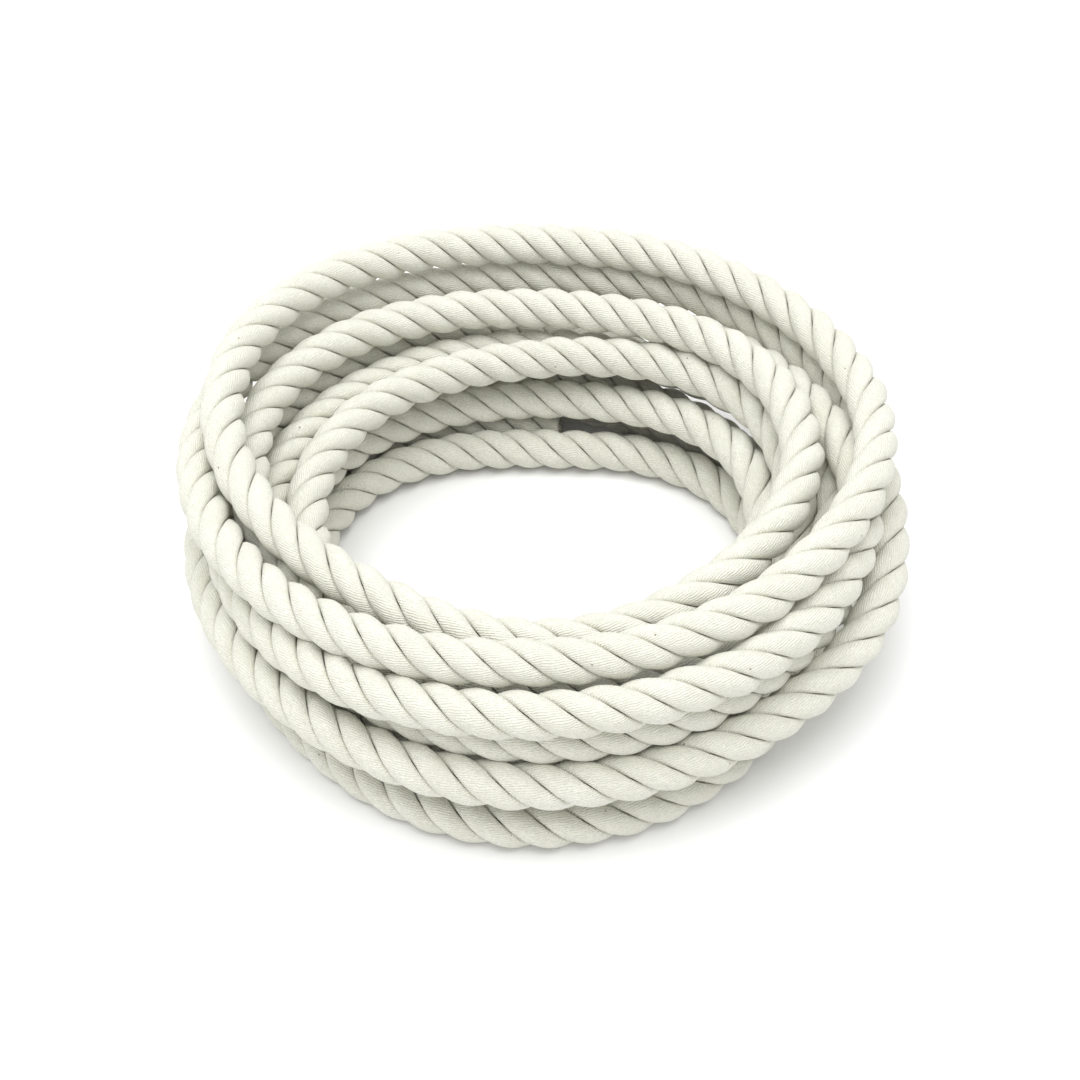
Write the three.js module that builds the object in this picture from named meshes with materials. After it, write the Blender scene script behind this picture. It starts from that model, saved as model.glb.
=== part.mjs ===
// A length of three-strand cotton rope, wound by hand into a loose, open coil.
//
// Millimetres, +Z up. The coil lies on the plane z = 0, its widest sides the same distance from
// the Z axis, and is wound anticlockwise seen from above. The real rope is one piece. Here each
// turn of the coil is a plain tube of its own, laid end to end with the next one, so that the
// solids follow the open, crossing turns instead of filling the coil like a tyre.

import * as THREE from 'three';

// Driving sizes.
const ROPE_DIAMETER = 15.875; // 5/8 in
const ROPE_LENGTH = 7620; // 25 ft
const TUBE_ACROSS_CORNERS = 14.8; // a little thinner than the rope, so that turns stay apart
const TUBE_SIDES = 12;
const TUBE_STEPS_PER_TURN = 40;
const END_GAP = 0.4; // between one turn's end face and the next one's

// How the coil is wound. The turns go round an upright axis that passes a little beside the
// origin, and the rope is followed by its angle round that axis, in degrees from +X.
const AXIS_X = -1.21;
const AXIS_Y = -10.24;
const CUT_END_ANGLE = 85;
const FIRST_STATION = 90;
const STATION_STEP = 60;
const POINTS_PER_TURN = 96;

// Where each turn passes at six places round the coil, in rope diameters: [distance from that
// axis, height of the rope's middle]. The columns are the back (+Y), the back left, the front
// left, the front, the front right and the back right.
const TURNS = [
  [[5.9, 0.5], [7.4, 0.5], [5.6, 0.5], [5.7, 0.5], [4.6, 0.5], [6.8, 0.5]], // on the floor
  [[4.8, 0.5], [6.9, 0.5], [4.7, 0.5], [4.7, 0.5], [5.2, 1.5], [6.4, 2.0]],
  [[5.95, 1.4], [6.8, 1.4], [6.1, 1.4], [5.3, 1.4], [5.6, 0.5], [7.0, 0.5]],
  [[7.0, 0.5], [7.8, 0.5], [6.3, 0.5], [7.4, 0.5], [6.0, 0.5], [6.2, 1.4]],
  [[6.9, 1.4], [7.6, 1.4], [6.6, 0.8], [6.4, 1.05], [6.3, 1.4], [7.2, 3.4]],
  [[5.7, 3.0], [5.9, 3.0], [5.3, 2.4], [5.4, 2.8], [5.9, 2.6], [7.7, 2.4]],
  [[6.7, 2.8], [6.9, 2.7], [6.2, 2.5], [6.85, 2.95], [6.8, 2.6], [8.3, 2.0]],
  [[7.5, 2.9], [7.8, 2.7], [6.8, 2.8], [6.95, 3.95], [7.0, 3.4], [7.6, 3.5]],
  [[8.3, 2.4], [8.3, 1.9], [7.1, 1.95], [7.4, 2.0], [6.9, 2.0], [8.3, 3.4]],
  [[8.1, 3.75], [8.9, 3.9], [6.8, 3.95], [5.9, 4.35], [6.4, 4.3], [8.8, 4.3]],
  [[8.1, 4.8], [8.7, 5.2], [5.4, 4.1], [5.0, 3.75], [5.05, 4.1], [6.9, 4.1]], // on top
  [[6.5, 3.9], [7.9, 3.9], [5.5, 3.2], [5.7, 3.1]], // tucked under the turn before it
];

// How the turns settle on each other.
const ROUNDS = 1200;
const SPACING = 1.01 * ROPE_DIAMETER;
const PUSH = 0.45; // share of each overlap undone in one round
const PULL = 0.02; // share of the way back to the table's place, fading to none
const STIFFNESS = 0.15; // share of each point's unevenness smoothed away in one round
const LOOK_AHEAD = [-6, -4, -2, 0, 2, 4, 6]; // points compared, before and after the nearest one

const TUBE_RADIUS = TUBE_ACROSS_CORNERS / 2;
const FLOOR_HEIGHT = TUBE_RADIUS * Math.cos(Math.PI / TUBE_SIDES); // a flat side lies on z = 0
const STEP = 360 / POINTS_PER_TURN;
const UP = new THREE.Vector3(0, 0, 1);

const stations = TURNS.flat();

// The rope's angle at each of its points.
function pointAngles() {
  const angles = [];
  const last = FIRST_STATION + STATION_STEP * (stations.length - 1);
  for (let angle = CUT_END_ANGLE; angle <= last; angle += STEP) angles.push(angle);
  return angles;
}

// A smooth curve through evenly spaced values. The place is counted from the first of them.
function smoothThrough(values, place) {
  const last = values.length - 1;
  const i = Math.max(0, Math.min(Math.floor(place), last - 1));
  const u = Math.max(0, Math.min(place - i, 1));
  const slope = (k) => {
    const before = Math.max(0, k - 1);
    const after = Math.min(last, k + 1);
    return (values[after] - values[before]) / (after - before);
  };
  return (
    (2 * u ** 3 - 3 * u ** 2 + 1) * values[i] +
    (u ** 3 - 2 * u ** 2 + u) * slope(i) +
    (3 * u ** 2 - 2 * u ** 3) * values[i + 1] +
    (u ** 3 - u ** 2) * slope(i + 1)
  );
}

// Adds to pushR and pushZ what moves apart any two points of different turns that are too close.
function pushApart(r, z, pushR, pushZ) {
  for (let turn = 1; turn * POINTS_PER_TURN < r.length + 6; turn += 1) {
    for (const shift of LOOK_AHEAD) {
      const lag = turn * POINTS_PER_TURN + shift;
      const turnAngle = THREE.MathUtils.degToRad(shift * STEP);
      for (let i = 0; i + lag < r.length; i += 1) {
        const j = i + lag;
        const along = (turnAngle * (r[i] + r[j])) / 2;
        const dr = r[j] - r[i];
        const dz = z[j] - z[i];
        const distance = Math.sqrt(dr * dr + dz * dz + along * along) + 1e-9;
        const overlap = Math.max(0, SPACING - distance);
        pushR[i] -= (overlap * dr) / distance / 2;
        pushR[j] += (overlap * dr) / distance / 2;
        pushZ[i] -= (overlap * dz) / distance / 2;
        pushZ[j] += (overlap * dz) / distance / 2;
      }
    }
  }
}

function smoothed(values) {
  return values.map((value, i) => {
    if (i === 0 || i === values.length - 1) return value;
    const unevenness = (values[i - 1] + values[i + 1]) / 2 - value;
    return value + STIFFNESS * unevenness;
  });
}

// The rope's route: each point's angle, distance from the axis and height, after the turns of
// the table have pushed each other a rope's thickness apart and come to lie on the floor.
function settledRoute() {
  const angles = pointAngles();
  const places = angles.map((angle) => (angle - FIRST_STATION) / STATION_STEP);
  const fromTable = (column) => {
    const values = stations.map((station) => ROPE_DIAMETER * station[column]);
    return places.map((place) => smoothThrough(values, place));
  };
  const tableR = fromTable(0);
  const tableZ = fromTable(1);
  let r = [...tableR];
  let z = [...tableZ];
  for (let round = 0; round < ROUNDS; round += 1) {
    const pushR = new Array(r.length).fill(0);
    const pushZ = new Array(r.length).fill(0);
    pushApart(r, z, pushR, pushZ);
    const pull = PULL * (1 - round / ROUNDS);
    r = r.map((value, i) => value + PUSH * pushR[i]);
    z = z.map((value, i) => value + PUSH * pushZ[i]);
    r = smoothed(r.map((value, i) => value + pull * (tableR[i] - value)));
    z = smoothed(z.map((value, i) => value + pull * (tableZ[i] - value)));
    z = z.map((value) => Math.max(value, FLOOR_HEIGHT));
  }
  return { angles, r, z };
}

// The rope's middle line between two angles.
class RopeStretch extends THREE.Curve {
  constructor(route, from, to) {
    super();
    this.route = route;
    this.from = from;
    this.to = to;
    this.arcLengthDivisions = 400;
  }

  getPoint(t, target = new THREE.Vector3()) {
    const angle = this.from + (this.to - this.from) * t;
    const place = (angle - CUT_END_ANGLE) / STEP;
    const radius = smoothThrough(this.route.r, place);
    const height = smoothThrough(this.route.z, place);
    const turned = THREE.MathUtils.degToRad(angle);
    const x = AXIS_X + radius * Math.cos(turned);
    const y = AXIS_Y + radius * Math.sin(turned);
    return target.set(x, y, height);
  }

  // Keeps the tube's section upright, so that the same side of it faces down all the way.
  computeFrenetFrames(segments) {
    const tangents = [];
    const normals = [];
    const binormals = [];
    for (let i = 0; i <= segments; i += 1) {
      const tangent = this.getTangentAt(i / segments);
      const across = new THREE.Vector3().crossVectors(UP, tangent).normalize();
      tangents.push(tangent);
      normals.push(across);
      binormals.push(new THREE.Vector3().crossVectors(tangent, across));
    }
    return { tangents, normals, binormals };
  }
}

// The angle at which the rope's length runs out.
function farEndAngle(route) {
  const last = route.angles.length - 1;
  const whole = new RopeStretch(route, route.angles[0], route.angles[last]);
  const points = whole.getPoints(last);
  let left = ROPE_LENGTH;
  for (let i = 1; i <= last; i += 1) {
    const step = points[i].distanceTo(points[i - 1]);
    if (step >= left) return route.angles[i - 1] + (STEP * left) / step;
    left -= step;
  }
  return route.angles[last];
}

// The section of a turn's solid, with one side facing down.
function tubeSection() {
  const corners = [];
  for (let i = 0; i < TUBE_SIDES; i += 1) {
    const turned = ((i + 0.5) * 2 * Math.PI) / TUBE_SIDES;
    corners.push(
      new THREE.Vector2(TUBE_RADIUS * Math.cos(turned), TUBE_RADIUS * Math.sin(turned)),
    );
  }
  return new THREE.Shape(corners);
}

const cotton = new THREE.MeshStandardMaterial({ color: 0xe6e4d6, roughness: 0.95, metalness: 0 });

function turnOfRope(route, number, from, to) {
  const steps = Math.ceil((TUBE_STEPS_PER_TURN * (to - from)) / 360);
  const geometry = new THREE.ExtrudeGeometry(tubeSection(), {
    steps,
    bevelEnabled: false,
    extrudePath: new RopeStretch(route, from, to),
  });
  const mesh = new THREE.Mesh(geometry, cotton.clone());
  mesh.name = `rope_turn_${String(number).padStart(2, '0')}`;
  return mesh;
}

function coil() {
  const group = new THREE.Group();
  const route = settledRoute();
  const end = farEndAngle(route);
  const halfGap = (angle) => {
    const radius = smoothThrough(route.r, (angle - CUT_END_ANGLE) / STEP);
    return THREE.MathUtils.radToDeg(END_GAP / 2 / radius);
  };
  let number = 1;
  for (let from = CUT_END_ANGLE; from < end; from += 360) {
    const to = Math.min(from + 360, end);
    group.add(turnOfRope(route, number, from + halfGap(from), to - halfGap(to)));
    number += 1;
  }
  return group;
}

export default coil();
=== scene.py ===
"""A length of three-strand cotton rope in a loose, open coil, for Blender 4.5.

Metres, +Z up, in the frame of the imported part. The rope's route is the same one that part.mjs
works out: a short table of where each turn passes, then a settling loop that pushes the turns a
rope's thickness apart. Round that route the three strands are laid as solid twisted shapes.
"""

import math

import bpy
import numpy as np
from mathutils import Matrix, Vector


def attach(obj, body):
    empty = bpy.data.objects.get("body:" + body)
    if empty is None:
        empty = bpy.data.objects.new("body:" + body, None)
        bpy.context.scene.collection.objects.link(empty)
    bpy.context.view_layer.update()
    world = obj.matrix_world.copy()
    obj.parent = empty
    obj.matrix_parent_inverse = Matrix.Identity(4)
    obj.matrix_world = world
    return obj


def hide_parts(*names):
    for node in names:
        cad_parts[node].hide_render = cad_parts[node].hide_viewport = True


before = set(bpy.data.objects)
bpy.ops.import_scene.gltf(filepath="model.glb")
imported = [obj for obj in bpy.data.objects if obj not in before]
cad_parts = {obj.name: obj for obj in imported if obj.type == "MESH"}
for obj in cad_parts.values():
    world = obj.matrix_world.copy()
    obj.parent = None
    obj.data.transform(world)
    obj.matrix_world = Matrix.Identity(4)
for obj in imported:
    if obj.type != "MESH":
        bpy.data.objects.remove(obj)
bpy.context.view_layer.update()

# ---------------------------------------------------------------------------------------------
# The rope's route, as in part.mjs

ROPE_DIAMETER = 0.015875  # 5/8 in
ROPE_LENGTH = 7.62  # 25 ft
TUBE_RADIUS = 0.0148 / 2  # of the plain tubes that stand for the rope in the part
TUBE_SIDES = 12
CROWN_REACH = 0.52  # how far the strands reach from the rope's middle, in rope diameters

AXIS = (-0.00121, -0.01024)
CUT_END_ANGLE = 85
FIRST_STATION = 90
STATION_STEP = 60
POINTS_PER_TURN = 96

# Where each turn passes at six places round the coil, in rope diameters: (distance from the
# coil's axis, height of the rope's middle). The columns are the back (+Y), the back left, the
# front left, the front, the front right and the back right.
TURNS = [
    [(5.9, 0.5), (7.4, 0.5), (5.6, 0.5), (5.7, 0.5), (4.6, 0.5), (6.8, 0.5)],  # on the floor
    [(4.8, 0.5), (6.9, 0.5), (4.7, 0.5), (4.7, 0.5), (5.2, 1.5), (6.4, 2.0)],
    [(5.95, 1.4), (6.8, 1.4), (6.1, 1.4), (5.3, 1.4), (5.6, 0.5), (7.0, 0.5)],
    [(7.0, 0.5), (7.8, 0.5), (6.3, 0.5), (7.4, 0.5), (6.0, 0.5), (6.2, 1.4)],
    [(6.9, 1.4), (7.6, 1.4), (6.6, 0.8), (6.4, 1.05), (6.3, 1.4), (7.2, 3.4)],
    [(5.7, 3.0), (5.9, 3.0), (5.3, 2.4), (5.4, 2.8), (5.9, 2.6), (7.7, 2.4)],
    [(6.7, 2.8), (6.9, 2.7), (6.2, 2.5), (6.85, 2.95), (6.8, 2.6), (8.3, 2.0)],
    [(7.5, 2.9), (7.8, 2.7), (6.8, 2.8), (6.95, 3.95), (7.0, 3.4), (7.6, 3.5)],
    [(8.3, 2.4), (8.3, 1.9), (7.1, 1.95), (7.4, 2.0), (6.9, 2.0), (8.3, 3.4)],
    [(8.1, 3.75), (8.9, 3.9), (6.8, 3.95), (5.9, 4.35), (6.4, 4.3), (8.8, 4.3)],
    [(8.1, 4.8), (8.7, 5.2), (5.4, 4.1), (5.0, 3.75), (5.05, 4.1), (6.9, 4.1)],  # on top
    [(6.5, 3.9), (7.9, 3.9), (5.5, 3.2), (5.7, 3.1)],  # tucked under the turn before it
]

# How the turns settle on each other.
ROUNDS = 1200
SPACING = 1.01 * ROPE_DIAMETER
PUSH = 0.45  # share of each overlap undone in one round
PULL = 0.02  # share of the way back to the table's place, fading to none
STIFFNESS = 0.15  # share of each point's unevenness smoothed away in one round
LOOK_AHEAD = (-6, -4, -2, 0, 2, 4, 6)  # points compared, before and after the nearest one

TUBE_FLOOR_HEIGHT = TUBE_RADIUS * math.cos(math.pi / TUBE_SIDES)
LIFT = CROWN_REACH * ROPE_DIAMETER - TUBE_FLOOR_HEIGHT  # the rope is thicker than its tube
STEP = 360 / POINTS_PER_TURN


def smooth_through(values, place):
    """A smooth curve through evenly spaced values, at places counted from the first of them."""
    slope = np.gradient(values)
    i = np.clip(np.floor(place).astype(int), 0, len(values) - 2)
    u = np.clip(place - i, 0, 1)
    return (
        (2 * u**3 - 3 * u**2 + 1) * values[i]
        + (u**3 - 2 * u**2 + u) * slope[i]
        + (3 * u**2 - 2 * u**3) * values[i + 1]
        + (u**3 - u**2) * slope[i + 1]
    )


def neighbours(count):
    """The pairs of points of different turns that can touch, and the angle between them."""
    first, second, angle = [], [], []
    for turn in range(1, count // POINTS_PER_TURN + 2):
        for shift in LOOK_AHEAD:
            lag = turn * POINTS_PER_TURN + shift
            i = np.arange(max(0, count - lag))
            first.append(i)
            second.append(i + lag)
            angle.append(np.full(len(i), math.radians(shift * STEP)))
    return np.concatenate(first), np.concatenate(second), np.concatenate(angle)


def smoothed(values):
    out = values.copy()
    unevenness = (values[:-2] + values[2:]) / 2 - values[1:-1]
    out[1:-1] += STIFFNESS * unevenness
    return out


def settled_route():
    """Each point's angle, distance from the axis and height, once the turns have settled."""
    stations = ROPE_DIAMETER * np.array([place for turn in TURNS for place in turn])
    last = FIRST_STATION + STATION_STEP * (len(stations) - 1)
    angles = np.arange(CUT_END_ANGLE, last + 1e-9, STEP)
    places = (angles - FIRST_STATION) / STATION_STEP
    table_r = smooth_through(stations[:, 0], places)
    table_z = smooth_through(stations[:, 1], places)
    r, z = table_r.copy(), table_z.copy()
    first, second, angle = neighbours(len(angles))
    for round_number in range(ROUNDS):
        along = angle * (r[first] + r[second]) / 2
        dr = r[second] - r[first]
        dz = z[second] - z[first]
        distance = np.sqrt(dr**2 + dz**2 + along**2) + 1e-12
        share = PUSH * np.maximum(0, SPACING - distance) / distance / 2
        for values, difference in ((r, dr), (z, dz)):
            values += np.bincount(second, share * difference, len(values))
            values -= np.bincount(first, share * difference, len(values))
        pull = PULL * (1 - round_number / ROUNDS)
        r = smoothed(r + pull * (table_r - r))
        z = smoothed(z + pull * (table_z - z))
        z = np.maximum(z, TUBE_FLOOR_HEIGHT)
    return angles, r, z


def points_at(route, angles):
    """The middle of the rope at any angles along its route."""
    _, r, z = route
    place = (angles - CUT_END_ANGLE) / STEP
    radius = smooth_through(r, place)
    height = smooth_through(z, place) + LIFT
    turned = np.radians(angles)
    x = AXIS[0] + radius * np.cos(turned)
    y = AXIS[1] + radius * np.sin(turned)
    return np.stack([x, y, height], 1)


def lengths_along(points):
    steps = np.linalg.norm(np.diff(points, axis=0), axis=1)
    return np.concatenate([[0], np.cumsum(steps)])


# ---------------------------------------------------------------------------------------------
# The three strands

STRANDS = 3
RING_STEP = 0.1  # in rope diameters
ROUTE_STEPS = 12  # between two of the route's points, to measure its length

# A strand's section, with its sizes in rope diameters.
STRAND_CENTRE = 0.27  # from the rope's middle
CROWN_RADIUS = 0.35
SEAM_GAP = 0.004  # between two strands
ROUNDING = 9.0  # the lower, the rounder the strand's edges
OUTLINE_STEPS = 720  # in the outline, before it is thinned
SECTION_POINTS = 22  # in the thinned outline
HIDDEN_RADIUS = 0.3  # nearer the rope's middle than this, the strands hide each other
HIDDEN_SHARE = 0.3  # of the points that an outside stretch of the same length gets
END_BULGE = 0.05  # how far the middle of a cut face stands out
END_TAPER = (0.90, 0.97)  # share of the section's size at a cut end, and one step in

# Unevenness: how large, and the distance along the rope in which it changes, in metres.
TWIST_UNEVENNESS = 0.15  # radians
TWIST_WAVE = 0.12
PLUMP_UNEVENNESS = 0.03  # share of a strand's size
PLUMP_WAVE = 0.05
TWIST_SEED = 11
PLUMP_SEED = 20

# Length of one twist in rope diameters: the mean, then how it changes round the coil.
LAY_MEAN = 2.70
LAY_RIGHT = 0.15
LAY_BACK = -0.125
LAY_SIDES = 0.22


def lay_at(angles):
    """The rope is twisted tighter at the back of the coil than at its front and sides."""
    turned = np.radians(angles)
    sides = LAY_SIDES * np.cos(2 * turned)
    return LAY_MEAN + LAY_RIGHT * np.cos(turned) + LAY_BACK * np.sin(turned) + sides


def waviness(along, wavelength, seed):
    """Smooth random numbers along the rope, about -1 to 1."""
    rng = np.random.default_rng(seed)
    knots = rng.uniform(-1, 1, int(along[-1] / wavelength) + 3)
    return smooth_through(knots, along / wavelength)


def strand_section():
    """The outline of a strand across the rope, lying towards +X: (x, y) in rope diameters.

    It is a wedge of a third of the rope, with a crowned outside and rounded edges."""
    turn = np.linspace(-math.pi, math.pi, OUTLINE_STEPS + 1)[:-1]
    cos, sin = np.cos(turn), np.sin(turn)
    crown_centre = 0.5 - CROWN_RADIUS
    reach = STRAND_CENTRE - crown_centre
    to_crown = -reach * cos + np.sqrt(CROWN_RADIUS**2 - (reach * sin) ** 2)
    half_wedge = math.radians(180 / STRANDS)
    wall = STRAND_CENTRE * math.sin(half_wedge) - SEAM_GAP / 2
    distance = to_crown**-ROUNDING
    for side in (1, -1):
        towards = side * sin * math.cos(half_wedge) - cos * math.sin(half_wedge)
        distance = distance + (np.maximum(towards, 1e-3) / wall) ** ROUNDING
    rho = distance ** (-1 / ROUNDING)
    x = STRAND_CENTRE + rho * cos
    y = rho * sin
    x *= CROWN_REACH / x.max()
    steps = np.hypot(np.diff(x, append=x[0]), np.diff(y, append=y[0]))
    outside = np.hypot(x, y) > HIDDEN_RADIUS
    steps *= np.where(outside, 1.0, HIDDEN_SHARE)
    place = np.concatenate([[0], np.cumsum(steps)])
    wanted = np.linspace(0, place[-1], SECTION_POINTS + 1)[:-1]
    return (
        np.interp(wanted, place, np.append(x, x[0])),
        np.interp(wanted, place, np.append(y, y[0])),
    )


def rope_rings(route):
    """Evenly spaced places along the rope: middles, across and up directions, length, angle."""
    angles = route[0]
    fine = np.linspace(angles[0], angles[-1], ROUTE_STEPS * len(angles))
    length = lengths_along(points_at(route, fine))
    count = int(round(ROPE_LENGTH / (RING_STEP * ROPE_DIAMETER)))
    along = np.linspace(0, ROPE_LENGTH, count + 1)
    ring_angles = np.interp(along, length, fine)
    middle = points_at(route, ring_angles)
    tangent = np.gradient(middle, axis=0)
    tangent /= np.linalg.norm(tangent, axis=1)[:, None]
    across = np.cross([0, 0, 1], tangent)
    across /= np.linalg.norm(across, axis=1)[:, None]
    up = np.cross(tangent, across)
    return middle, across, up, along, ring_angles


def strand_twist(along, angles):
    """How far the strands have turned round the rope, in radians. They are laid right-handed."""
    step = np.gradient(along) / (lay_at(angles) * ROPE_DIAMETER)
    twist = 2 * math.pi * np.cumsum(step)
    return twist + TWIST_UNEVENNESS * waviness(along, TWIST_WAVE, TWIST_SEED)


def end_taper(rings):
    """A strand's size at each ring: its cut ends have rounded rims."""
    size = np.ones(rings)
    size[[0, -1]] = END_TAPER[0]
    size[[1, -2]] = END_TAPER[1]
    return size[:, None]


def strand_faces(ring_count, around, offset):
    """Quads between rings, and a fan of triangles over each end from a point in its middle."""
    ring = np.arange(ring_count - 1)[:, None] * around
    here = np.arange(around)[None, :]
    after = (here + 1) % around
    quads = np.stack([ring + here, ring + after, ring + around + after, ring + around + here], 2)
    quads = quads.reshape(-1, 4) + offset
    here, after = here[0], after[0]
    start_middle = ring_count * around
    end_middle = start_middle + 1
    last = (ring_count - 1) * around
    start = np.stack([np.full(around, start_middle), after, here], 1) + offset
    end = np.stack([np.full(around, end_middle), last + here, last + after], 1) + offset
    return quads, np.concatenate([start, end])


def strand_rings(strand, turned, rings_of_rope, section):
    """A strand's outline at every ring, and a point in the middle of each of its cut faces."""
    middle, across, up, along, _ = rings_of_rope
    taper = end_taper(len(along))
    plump = 1 + PLUMP_UNEVENNESS * waviness(along, PLUMP_WAVE, PLUMP_SEED + strand)[:, None]
    x = STRAND_CENTRE + (section[0][None, :] - STRAND_CENTRE) * taper
    x = x * plump * ROPE_DIAMETER
    y = section[1][None, :] * taper * ROPE_DIAMETER
    cos, sin = np.cos(turned)[:, None], np.sin(turned)[:, None]
    side = x * cos - y * sin
    rise = x * sin + y * cos
    rings = (
        middle[:, None, :]
        + side[:, :, None] * across[:, None, :]
        + rise[:, :, None] * up[:, None, :]
    )
    outwards = np.stack([np.cross(up[0], across[0]), np.cross(across[-1], up[-1])])
    ends = np.stack([rings[0].mean(0), rings[-1].mean(0)]) + END_BULGE * ROPE_DIAMETER * outwards
    return np.concatenate([rings.reshape(-1, 3), ends])


def yarn_places(turned, along, section):
    """Each point's place along the rope, and round it from a line that doesn't turn with the
    strands: yarns lie along lines where the second number stays the same."""
    round_rope = np.arctan2(section[1], section[0])[None, :] + turned[:, None]
    v = round_rope * ROPE_DIAMETER / 2
    u = np.repeat(along[:, None], len(section[0]), 1)
    outline = np.stack([u, v, np.zeros_like(u)], 2).reshape(-1, 3)
    return np.concatenate([outline, [[along[0], 0, 0], [along[-1], 0, 0]]])


def build_rope(route):
    rings_of_rope = rope_rings(route)
    middle, _, _, along, angles = rings_of_rope
    twist = strand_twist(along, angles)
    section = strand_section()
    around = len(section[0])
    vertices, quads, triangles, places = [], [], [], []
    for strand in range(STRANDS):
        turned = twist + strand * 2 * math.pi / STRANDS
        offset = sum(len(points) for points in vertices)
        strand_quads, strand_triangles = strand_faces(len(along), around, offset)
        vertices.append(strand_rings(strand, turned, rings_of_rope, section))
        quads.append(strand_quads)
        triangles.append(strand_triangles)
        places.append(yarn_places(turned, along, section))
    mesh = bpy.data.meshes.new("rope")
    add_geometry(mesh, np.concatenate(vertices), np.concatenate(quads), np.concatenate(triangles))
    yarn = mesh.attributes.new("yarn_place", "FLOAT_VECTOR", "POINT")
    yarn.data.foreach_set("vector", np.concatenate(places).astype(np.float32).ravel())
    rope = bpy.data.objects.new("rope", mesh)
    bpy.context.scene.collection.objects.link(rope)
    return rope, middle


def add_geometry(mesh, vertices, quads, triangles):
    """Quads are the strands' outsides, shaded smooth, and triangles are their cut faces."""
    corners = np.concatenate([quads.ravel(), triangles.ravel()]).astype(np.int32)
    sizes = np.concatenate([np.full(len(quads), 4), np.full(len(triangles), 3)])
    starts = np.concatenate([[0], np.cumsum(sizes)[:-1]]).astype(np.int32)
    mesh.vertices.add(len(vertices))
    mesh.vertices.foreach_set("co", vertices.astype(np.float32).ravel())
    mesh.loops.add(len(corners))
    mesh.loops.foreach_set("vertex_index", corners)
    mesh.polygons.add(len(sizes))
    mesh.polygons.foreach_set("loop_start", starts)
    smooth = np.concatenate([np.ones(len(quads), bool), np.zeros(len(triangles), bool)])
    mesh.polygons.foreach_set("use_smooth", smooth)
    cut_face = np.concatenate([np.zeros(len(quads), np.int32), np.ones(len(triangles), np.int32)])
    mesh.polygons.foreach_set("material_index", cut_face)
    mesh.update(calc_edges=True)
    mesh.validate()


# ---------------------------------------------------------------------------------------------
# Materials


class Nodes:
    """A short way to write a material's nodes."""

    def __init__(self, name):
        self.material = bpy.data.materials.new(name)
        self.material.use_nodes = True
        self.tree = self.material.node_tree
        self.shader = self.tree.nodes["Principled BSDF"]

    def add(self, kind, settings=None, **inputs):
        node = self.tree.nodes.new(kind)
        for key, value in (settings or {}).items():
            setattr(node, key, value)
        for key, value in inputs.items():
            self.put(node, key.replace("_", " "), value)
        return node

    def put(self, node, socket, value):
        target = node.inputs[socket]
        if isinstance(value, bpy.types.NodeSocket):
            self.tree.links.new(value, target)
        else:
            target.default_value = value

    def math(self, operation, *values):
        node = self.tree.nodes.new("ShaderNodeMath")
        node.operation = operation
        for i, value in enumerate(values):
            self.put(node, i, value)
        return node.outputs[0]

    def noise(self, vector, scale, detail=2.0, roughness=0.5):
        node = self.add("ShaderNodeTexNoise", Scale=scale, Detail=detail, Roughness=roughness)
        self.put(node, "Vector", vector)
        return node.outputs[0]

    def mix(self, share, first, second):
        node = self.tree.nodes.new("ShaderNodeMix")
        node.data_type = "RGBA"
        self.put(node, 0, share)
        self.put(node, 6, first)
        self.put(node, 7, second)
        return node.outputs[2]

    def band(self, value, low, high, to_low=0.0, to_high=1.0):
        node = self.tree.nodes.new("ShaderNodeMapRange")
        node.interpolation_type = "SMOOTHSTEP"
        for i, number in enumerate((value, low, high, to_low, to_high)):
            self.put(node, i, number)
        return node.outputs[0]


YARN_PITCH = 0.00088
YARN_WANDER = 0.0015
YARN_SLOPE = 0.10  # yarns drift round the rope by this much of the way along it
BUMP_DEPTH = 0.00034
CUT_BUMP_DEPTH = 0.0004
# How fine the parts of the pattern are, in cells per metre.
WANDER_SCALE = 320.0
FIBRE_SCALE = 2600.0
FUZZ_SCALE = 1500.0
LUMP_SCALE = 430.0
PATCH_SCALE = 70.0
FLECK_SCALE = 190.0
FIBRE_STRETCH = 0.22  # fibres are longer along the rope than round it
COTTON = (0.83, 0.826, 0.735, 1)
COTTON_PALE = (0.89, 0.886, 0.81, 1)
# painted shade for the grooves between yarns and the gaps between cut yarn ends
GROOVE_SHADE = (0.56, 0.56, 0.44, 1)
# painted shade for the low spots of the fuzz and fibres
SHADE = (0.64, 0.64, 0.54, 1)
SEED_FLECK = (0.20, 0.15, 0.09, 1)


def yarn_ridges(n, along, around, position):
    """0 in the groove between two yarns and 1 on top of a yarn. The yarns wander a little."""
    wander = n.math("SUBTRACT", n.noise(position, WANDER_SCALE, 3.0), 0.5)
    line = n.math("ADD", around, n.math("MULTIPLY", wander, YARN_WANDER))
    line = n.math("ADD", line, n.math("MULTIPLY", along, YARN_SLOPE))
    half_phase = n.math("MULTIPLY", line, math.pi / YARN_PITCH)
    return n.math("ABSOLUTE", n.math("SINE", half_phase))


def seed_flecks(n, position):
    """The share of dark fleck: a small dot in one cell out of ten."""
    cells = n.add("ShaderNodeTexVoronoi", {"feature": "F1"}, Scale=FLECK_SCALE)
    n.put(cells, "Vector", position)
    random = n.add("ShaderNodeSeparateColor", Color=cells.outputs["Color"])
    rare = n.math("GREATER_THAN", random.outputs[0], 0.90)
    return n.math("MULTIPLY", rare, n.band(cells.outputs["Distance"], 0.05, 0.09, 0.75, 0.0))


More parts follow.
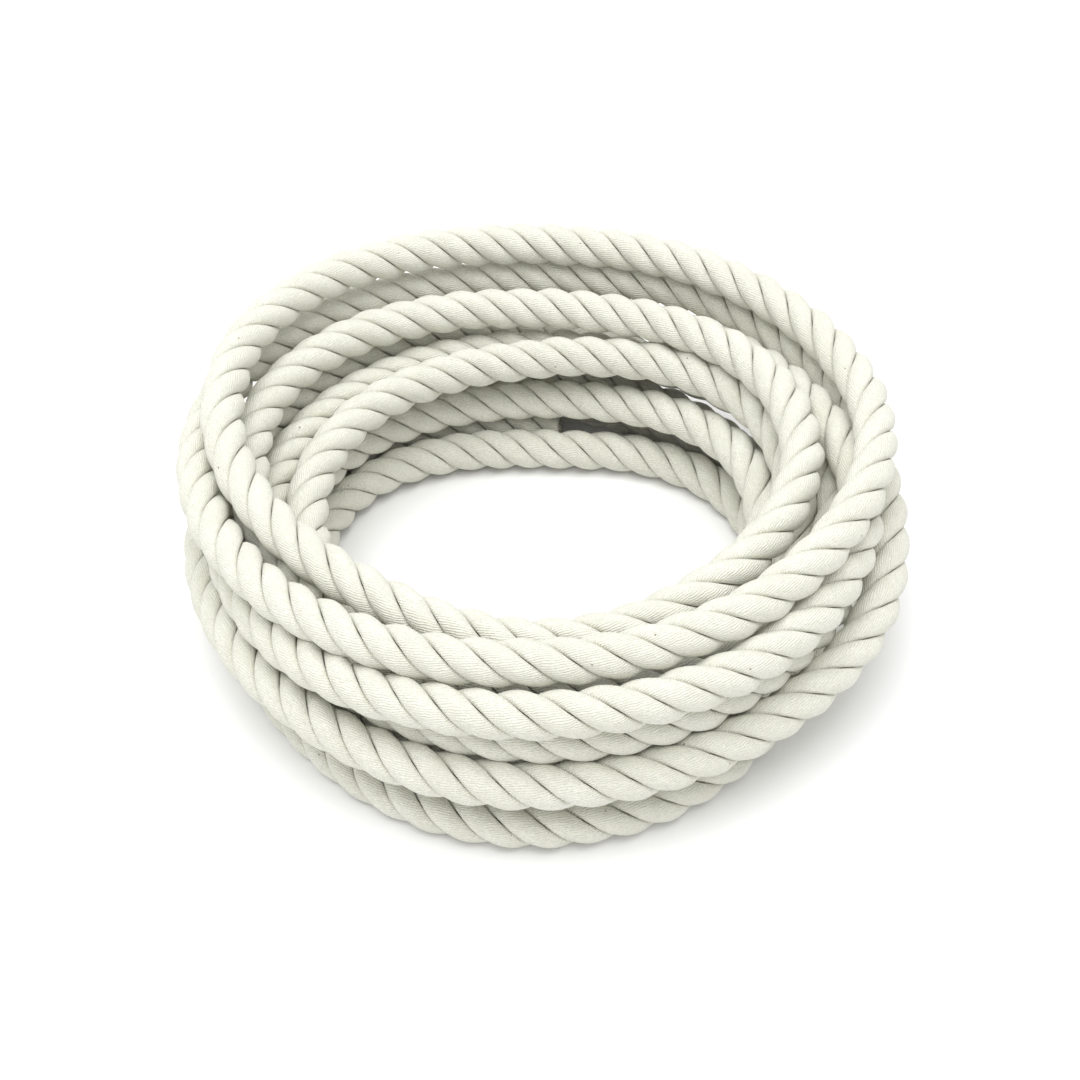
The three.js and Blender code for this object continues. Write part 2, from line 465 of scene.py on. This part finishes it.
def cotton_material():
    """Undyed cotton: yarns along the rope, short fibres standing out, uneven colour, painted
    shade.
    """
    n = Nodes("natural_cotton")
    place = n.add("ShaderNodeAttribute", {"attribute_name": "yarn_place"}).outputs["Vector"]
    position = n.add("ShaderNodeTexCoord").outputs["Object"]
    parts = n.add("ShaderNodeSeparateXYZ", Vector=place)
    along, around = parts.outputs[0], parts.outputs[1]

    ridge = yarn_ridges(n, along, around, position)
    shortened = n.math("MULTIPLY", along, FIBRE_STRETCH)
    fibre_space = n.add("ShaderNodeCombineXYZ", X=shortened, Y=around)
    fibres = n.noise(fibre_space.outputs[0], FIBRE_SCALE, 4.0, 0.65)
    fuzz = n.noise(position, FUZZ_SCALE, 4.0, 0.7)
    lumps = n.noise(position, LUMP_SCALE, 2.0)
    patches = n.noise(position, PATCH_SCALE, 3.0)

    colour = n.mix(n.band(patches, 0.35, 0.70), COTTON, COTTON_PALE)
    # Painted shade: darker where the fuzz and the fibres are low, the dips of the bump below.
    colour = n.mix(n.band(fuzz, 0.36, 0.62, 0.55, 0.0), colour, SHADE)
    colour = n.mix(n.band(fibres, 0.36, 0.58, 0.45, 0.0), colour, SHADE)
    # Painted shade in the grooves between yarns, weaker where the lumps are low.
    groove = n.band(ridge, 0.0, 0.50, 0.55, 0.0)
    groove = n.math("MULTIPLY", groove, n.band(lumps, 0.36, 0.62, 0.30, 1.0))
    colour = n.mix(groove, colour, GROOVE_SHADE)
    colour = n.mix(seed_flecks(n, position), colour, SEED_FLECK)

    height = n.math("ADD", n.math("MULTIPLY", ridge, 0.8), n.math("MULTIPLY", fibres, 0.6))
    height = n.math("ADD", height, n.math("MULTIPLY", fuzz, 0.9))
    height = n.math("ADD", height, n.math("MULTIPLY", lumps, 1.1))
    bump = n.add("ShaderNodeBump", Strength=0.8, Distance=BUMP_DEPTH, Height=height)

    n.put(n.shader, "Base Color", colour)
    n.put(n.shader, "Normal", bump.outputs[0])
    n.put(n.shader, "Roughness", n.band(fuzz, 0.2, 0.8, 0.82, 0.98))
    n.put(n.shader, "Specular IOR Level", 0.25)
    n.put(n.shader, "Sheen Weight", 0.25)
    n.put(n.shader, "Sheen Roughness", 0.5)
    return n.material


def cut_cotton_material():
    """The cut face of a strand: the ends of its yarns, packed together, with painted shade
    between them.
    """
    n = Nodes("cut_cotton")
    position = n.add("ShaderNodeTexCoord").outputs["Object"]
    yarns = n.add("ShaderNodeTexVoronoi", {"feature": "F1"}, Scale=1 / YARN_PITCH)
    n.put(yarns, "Vector", position)
    # Painted shade in the gaps between the yarn ends: the cells' edges, which the bump also
    # lowers.
    edge = n.band(yarns.outputs["Distance"], 0.25, 0.65)
    fuzz = n.noise(position, FIBRE_SCALE, 3.0, 0.65)
    colour = n.mix(edge, COTTON_PALE, GROOVE_SHADE)
    height = n.math("SUBTRACT", n.math("MULTIPLY", fuzz, 0.5), edge)
    bump = n.add("ShaderNodeBump", Strength=0.9, Distance=CUT_BUMP_DEPTH, Height=height)
    n.put(n.shader, "Base Color", colour)
    n.put(n.shader, "Normal", bump.outputs[0])
    n.put(n.shader, "Roughness", n.band(fuzz, 0.2, 0.8, 0.85, 0.98))
    n.put(n.shader, "Specular IOR Level", 0.25)
    return n.material


# ---------------------------------------------------------------------------------------------
# Camera, light and floor

CAMERA_ELEVATION = 43.4
CAMERA_DISTANCE = 43 * ROPE_DIAMETER
CAMERA_TARGET = (AXIS[0], AXIS[1], 2.2 * ROPE_DIAMETER)
FOCAL_LENGTH = 60.2
SENSOR = 36

FLOOR_HALF = 6.0
FLOOR_COLOUR = (0.93, 0.93, 0.93, 1)
SURROUNDINGS = 0.83  # strength of the white light from all round
KEY_PLACE = (-0.12, -0.12, 1.35)
KEY_SIZE = 1.3
KEY_POWER = 16.5


def make_camera():
    camera = bpy.data.objects.new("camera", bpy.data.cameras.new("camera"))
    camera.data.lens = FOCAL_LENGTH
    camera.data.sensor_width = SENSOR
    tilt = math.radians(CAMERA_ELEVATION)
    camera.location = (
        CAMERA_TARGET[0],
        CAMERA_TARGET[1] - CAMERA_DISTANCE * math.cos(tilt),
        CAMERA_TARGET[2] + CAMERA_DISTANCE * math.sin(tilt),
    )
    camera.rotation_euler = (math.pi / 2 - tilt, 0, 0)
    bpy.context.scene.collection.objects.link(camera)
    bpy.context.scene.camera = camera


def area_light(name, place, target, size, power):
    light = bpy.data.objects.new(name, bpy.data.lights.new(name, "AREA"))
    light.data.size = size
    light.data.energy = power
    light.location = place
    aim = Vector(target) - Vector(place)
    light.rotation_euler = aim.to_track_quat("-Z", "Y").to_euler()
    bpy.context.scene.collection.objects.link(light)


def make_studio():
    floor_mesh = bpy.data.meshes.new("floor")
    sides = [(-1, -1), (1, -1), (1, 1), (-1, 1)]
    corners = [(x * FLOOR_HALF, y * FLOOR_HALF, 0) for x, y in sides]
    floor_mesh.from_pydata(corners, [], [(0, 1, 2, 3)])
    floor = bpy.data.objects.new("floor", floor_mesh)
    bpy.context.scene.collection.objects.link(floor)
    paper = Nodes("white_paper")
    paper.put(paper.shader, "Base Color", FLOOR_COLOUR)
    paper.put(paper.shader, "Roughness", 0.95)
    floor_mesh.materials.append(paper.material)

    world = bpy.data.worlds.new("studio")
    world.use_nodes = True
    background = world.node_tree.nodes["Background"]
    background.inputs["Color"].default_value = (1, 1, 1, 1)
    background.inputs["Strength"].default_value = SURROUNDINGS
    bpy.context.scene.world = world
    area_light("key", KEY_PLACE, (0, 0, 0), KEY_SIZE, KEY_POWER)
    bpy.context.scene.view_settings.view_transform = "Standard"


# ---------------------------------------------------------------------------------------------

make_camera()
make_studio()
rope, middle = build_rope(settled_route())
rope.data.materials.append(cotton_material())
rope.data.materials.append(cut_cotton_material())
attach(rope, "root")
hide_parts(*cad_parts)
